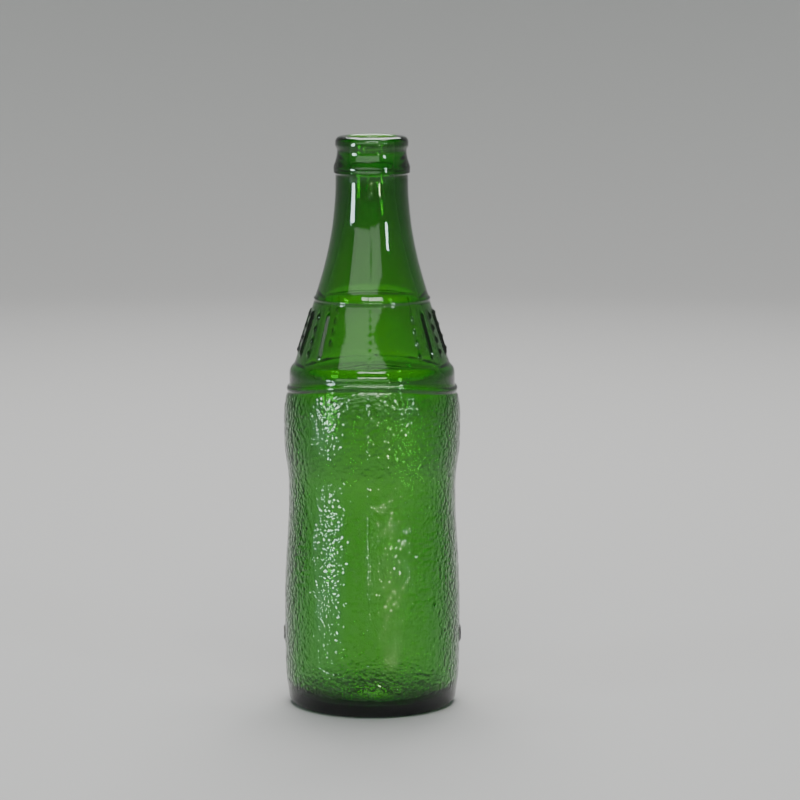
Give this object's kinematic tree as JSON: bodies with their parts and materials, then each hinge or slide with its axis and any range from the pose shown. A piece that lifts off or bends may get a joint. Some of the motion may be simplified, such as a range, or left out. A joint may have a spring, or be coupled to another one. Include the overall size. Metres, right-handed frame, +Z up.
{
  "type": "glass soda bottle",
  "caption": "Empty green glass soda bottle with a crown finish, ribbed shoulder panels, arched belt bead, pinched waist and pushed-up base.",
  "frame": {"origin": "centre of the bearing ring, in the plane the bottle stands on", "axes": "+Z up the bottle's axis to the mouth; the mould's parting plane is x = 0 and the rib panels face +X and -X"},
  "size_m": [0.0654, 0.0646, 0.2085],
  "materials": {
    "green_glass": "polished moulded glass, pebbled on the body"
  },
  "bodies": {
    "root": {"sealing_lip": "green_glass", "locking_ring": "green_glass", "crown_groove": "green_glass", "collar_ring": "green_glass", "neck": "green_glass", "neck_ring": "green_glass", "shoulder": "green_glass", "left_panel_ribs": "green_glass", "right_panel_ribs": "green_glass", "shoulder_step": "green_glass", "belt": "green_glass", "belt_bead": "green_glass", "body_crown": "green_glass", "upper_body": "green_glass", "waist": "green_glass", "lower_body": "green_glass", "index_lugs": "green_glass", "raised_marks": "green_glass", "heel": "green_glass", "push_up": "green_glass", "front_mould_seam": "green_glass", "back_mould_seam": "green_glass"}
  },
  "joints": []
}
